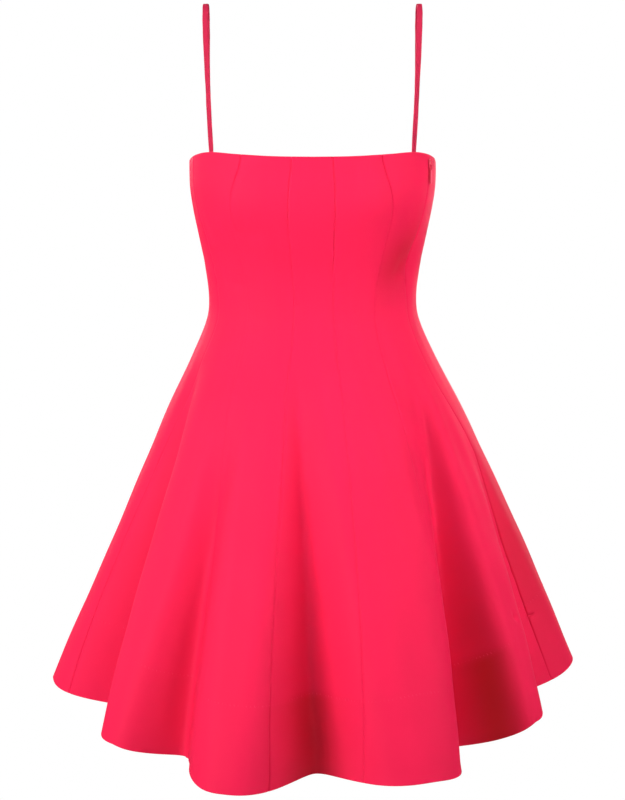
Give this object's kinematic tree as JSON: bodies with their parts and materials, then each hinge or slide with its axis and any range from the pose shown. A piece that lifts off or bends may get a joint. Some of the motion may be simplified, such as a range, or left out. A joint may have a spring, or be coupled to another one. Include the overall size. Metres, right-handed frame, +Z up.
{
  "type": "a-line dress",
  "caption": "Short dress with a straight neckline, narrow shoulder straps, vertical panel seams, a full fluted skirt with a deep hem, and a concealed side zip.",
  "frame": {"origin": "midway between the tops of the straps, at the height of their underside, where the wearer's shoulders carry the dress", "axes": "+Z up, the front of the dress faces -Y, and +X is the wearer's left side, with the zip"},
  "size_m": [0.6025, 0.5855, 0.8198],
  "materials": {
    "cloth": "structured cotton sateen, hot pink, smooth with a soft sheen",
    "strap": "narrow turned strap of the same cloth, pressed flat",
    "zip_tape": "woven polyester tape dyed to match",
    "zip_metal": "baked enamel on zinc, dyed to match"
  },
  "bodies": {
    "dress": {"front_center": "cloth", "front_mid_left": "cloth", "front_mid_right": "cloth", "front_side_left": "cloth", "front_side_right": "cloth", "back_center": "cloth", "back_side_left": "cloth", "back_side_right": "cloth", "strap_left": "strap", "strap_right": "strap", "zip_tape": "zip_tape", "zip_slider": "zip_metal"},
    "zip_pull": {"zip_pull": "zip_metal"}
  },
  "joints": [
    {"name": "zip_pull_hinge", "type": "hinge", "parent": "dress", "child": "zip_pull", "pos_m": [0.13072, -0.05344, -0.1753], "axis": [-0.4468, -0.8946, 0], "range_deg": [0, 175]}
  ]
}
